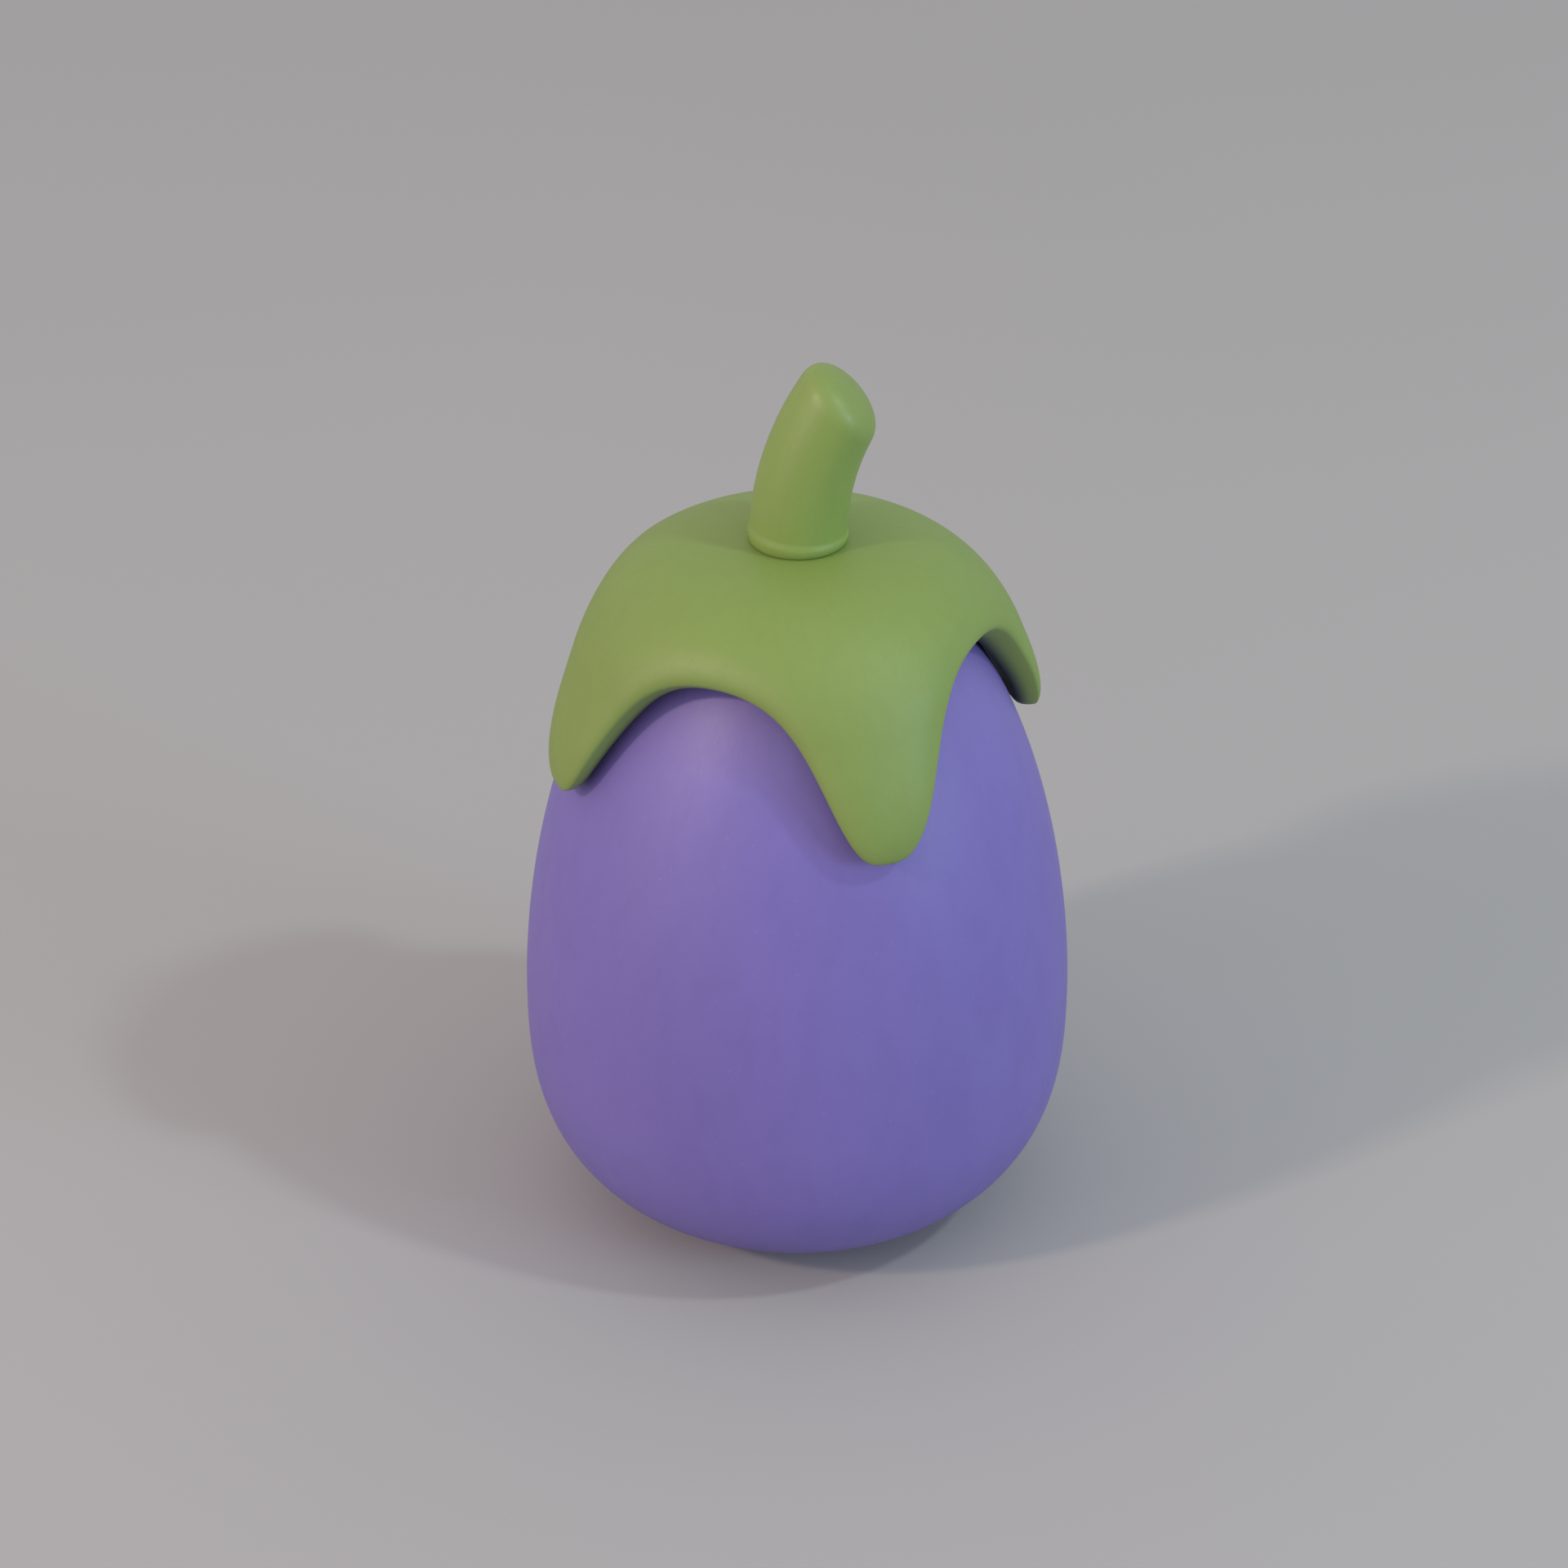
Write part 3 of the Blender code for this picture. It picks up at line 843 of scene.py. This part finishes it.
def stem_material(settings):
    """Satin green stalk: lengthwise fibres and a slightly darker end."""
    stalk = MaterialRecipe("eggplant_stem")
    grain = stalk.attribute(GRAIN, "Vector")
    fibres = stalk.effect("Lengthwise streaks", grain=grain, density=5.0, stretch=20.0,
                          fine_density=20.0)
    drift = stalk.effect("Tone drift", place=stalk.place, scale=70.0)["Drift"]
    specks = stalk.effect("Specks", place=stalk.place, scale=600.0, size=0.2)["Specks"]
    distance = stalk.split(grain)[2]
    darkening_start = 24.0 * MM
    end = stalk.remap(distance, (darkening_start, settings.rod_length), style="SMOOTHSTEP")

    tone = stalk.tint(rgba(settings.stalk_color), rgba(settings.fibre_color),
                      streak_mask(fibres, coarse=0.10, fine=0.08))
    # The stem gets darker towards its end.
    tone = stalk.tint(tone, rgba(settings.end_tone_color), end * 0.55 + drift * 0.06)
    tone = stalk.tint(tone, rgba(settings.end_tone_color), specks * 0.12)
    stalk.feed(stalk.shader.inputs["Base Color"], tone)
    rough = settings.roughness + fibres["Fine"] * 0.06
    stalk.feed(stalk.shader.inputs["Roughness"], rough)
    fine = stalk.effect("Fine grain", place=stalk.place, scale=1100.0)["Height"]
    stalk.bump(fine * 0.5 + fibres["Fine"] * 0.5 + fibres["Coarse"] * 0.4, 0.02 * MM)
    return stalk.material


def floor_material(settings):
    """Plain matt studio floor with a barely visible unevenness."""
    floor = MaterialRecipe("studio_floor")
    drift = floor.effect("Tone drift", place=floor.place, scale=3.0)["Drift"]
    base = rgba(settings.floor_color)
    darker = rgba([part * 0.985 for part in settings.floor_color])
    floor.feed(floor.shader.inputs["Base Color"], floor.tint(base, darker, drift))
    floor.feed(floor.shader.inputs["Roughness"], 0.95)
    floor.feed(floor.shader.inputs["Specular IOR Level"], 0.1)
    return floor.material


# Stage.

def add_floor(settings):
    """A large square floor at the height of the rest spot."""
    half = settings.floor_size / 2.0
    mesh = bpy.data.meshes.new("floor")
    corners = [(-half, -half, 0.0), (half, -half, 0.0), (half, half, 0.0), (-half, half, 0.0)]
    mesh.from_pydata(corners, [], [(0, 1, 2, 3)])
    mesh.materials.append(floor_material(settings))
    floor = bpy.data.objects.new("floor", mesh)
    bpy.context.scene.collection.objects.link(floor)


def aim(item, target):
    """Turn a lamp or the camera so that it looks at a point."""
    way = Vector(target) - item.location
    item.rotation_euler = way.to_track_quat("-Z", "Y").to_euler()


def add_light(name, power_in_watts, azimuth, elevation, size, tint):
    """A square light that looks at the object. Its side is in metres, and its angles are in
    degrees: azimuth 0 is the front, and grows rightwards.
    """
    data = bpy.data.lights.new(name, "AREA")
    data.shape = "SQUARE"
    data.size = size
    data.energy = power_in_watts
    data.color = tint
    lamp = bpy.data.objects.new(name, data)
    bpy.context.scene.collection.objects.link(lamp)
    turn = math.radians(azimuth)
    rise = math.radians(elevation)
    away = Vector((math.cos(rise) * math.sin(turn), -math.cos(rise) * math.cos(turn),
                   math.sin(rise)))
    lamp.location = Vector(LIGHT_TARGET) + away * LIGHT_DISTANCE
    aim(lamp, LIGHT_TARGET)


def add_lights(settings):
    """Warm lights on the left, cool lights on the right, and even light from all round."""
    add_light("warm_key", settings.warm_key, azimuth=-58.0, elevation=32.0, size=0.12,
              tint=(1.0, 0.76, 0.60))
    add_light("warm_fill", settings.warm_fill, azimuth=-60.0, elevation=15.0, size=0.8,
              tint=(1.0, 0.80, 0.95))
    add_light("cool_key", settings.cool_key, azimuth=66.0, elevation=50.0, size=0.10,
              tint=(0.82, 1.0, 0.92))
    add_light("cool_fill", settings.cool_fill, azimuth=60.0, elevation=15.0, size=0.5,
              tint=(0.52, 0.76, 1.0))
    world = bpy.data.worlds.new("studio")
    world.use_nodes = True
    background = world.node_tree.nodes["Background"]
    background.inputs["Color"].default_value = (1.0, 1.0, 1.0, 1.0)
    background.inputs["Strength"].default_value = settings.ambient
    bpy.context.scene.world = world
    bpy.context.scene.view_settings.view_transform = "Standard"


def add_camera(settings):
    """The camera of the reference view."""
    data = bpy.data.cameras.new("camera")
    data.lens = settings.lens
    data.sensor_width = 36.0
    data.clip_start = 0.01
    camera = bpy.data.objects.new("camera", data)
    bpy.context.scene.collection.objects.link(camera)
    away = Vector((0.0, -math.cos(settings.camera_elevation),
                   math.sin(settings.camera_elevation)))
    camera.location = Vector(CAMERA_TARGET) + away * settings.camera_distance
    aim(camera, CAMERA_TARGET)
    bpy.context.scene.camera = camera


# Operators.

class EGGPLANT_OT_fruit(bpy.types.Operator):
    """Build the purple fruit"""
    bl_idname = "eggplant.fruit"
    bl_label = "Build fruit"

    def execute(self, context):
        settings = context.scene.eggplant_fruit
        counts = {"Columns": 192, "Rows": 120}
        piece = grow("eggplant_fruit", fruit_tree, settings, counts, skin_material(settings))
        carry(piece, "fruit")
        return {"FINISHED"}


class EGGPLANT_OT_calyx(bpy.types.Operator):
    """Build the green calyx with its four lobes"""
    bl_idname = "eggplant.calyx"
    bl_label = "Build calyx"

    def execute(self, context):
        settings = context.scene.eggplant_calyx
        counts = {"Columns": 480, "Rows": 100}
        piece = grow("eggplant_calyx", calyx_tree, settings, counts, calyx_material(settings))
        carry(piece, "calyx")
        return {"FINISHED"}


class EGGPLANT_OT_stem(bpy.types.Operator):
    """Build the bent stem"""
    bl_idname = "eggplant.stem"
    bl_label = "Build stem"

    def execute(self, context):
        settings = context.scene.eggplant_stem
        counts = {"Columns": 96, "Rows": 100}
        piece = grow("eggplant_stem", stem_tree, settings, counts, stem_material(settings))
        carry(piece, "stem")
        return {"FINISHED"}


class EGGPLANT_OT_stage(bpy.types.Operator):
    """Set up the floor, the lights and the camera"""
    bl_idname = "eggplant.stage"
    bl_label = "Set up stage"

    def execute(self, context):
        settings = context.scene.eggplant_stage
        add_floor(settings)
        add_lights(settings)
        add_camera(settings)
        return {"FINISHED"}


class EGGPLANT_PT_panel(bpy.types.Panel):
    """Buttons and settings for the eggplant"""
    bl_idname = "EGGPLANT_PT_panel"
    bl_label = "Eggplant"
    bl_space_type = "VIEW_3D"
    bl_region_type = "UI"
    bl_category = "Eggplant"

    def draw(self, context):
        layout = self.layout
        for name, _, operator in PARTS:
            settings = getattr(context.scene, name)
            box = layout.box()
            box.operator(operator)
            for item in settings.bl_rna.properties:
                if item.identifier not in {"rna_type", "name"}:
                    box.prop(settings, item.identifier)


# The settings of each part in the scene, their class, and the operator that builds it.
PARTS = (
    ("eggplant_fruit", FruitSettings, "eggplant.fruit"),
    ("eggplant_calyx", CalyxSettings, "eggplant.calyx"),
    ("eggplant_stem", StemSettings, "eggplant.stem"),
    ("eggplant_stage", StageSettings, "eggplant.stage"),
)
CLASSES = (
    FruitSettings,
    CalyxSettings,
    StemSettings,
    StageSettings,
    EGGPLANT_OT_fruit,
    EGGPLANT_OT_calyx,
    EGGPLANT_OT_stem,
    EGGPLANT_OT_stage,
    EGGPLANT_PT_panel,
)


def register():
    for item in CLASSES:
        bpy.utils.register_class(item)
    for name, settings, _ in PARTS:
        setattr(bpy.types.Scene, name, bpy.props.PointerProperty(type=settings))


def unregister():
    for name, _, _ in PARTS:
        delattr(bpy.types.Scene, name)
    for item in reversed(CLASSES):
        bpy.utils.unregister_class(item)


def main():
    register()
    bpy.ops.eggplant.fruit()
    bpy.ops.eggplant.calyx()
    bpy.ops.eggplant.stem()
    bpy.ops.eggplant.stage()


if __name__ == "__main__":
    main()
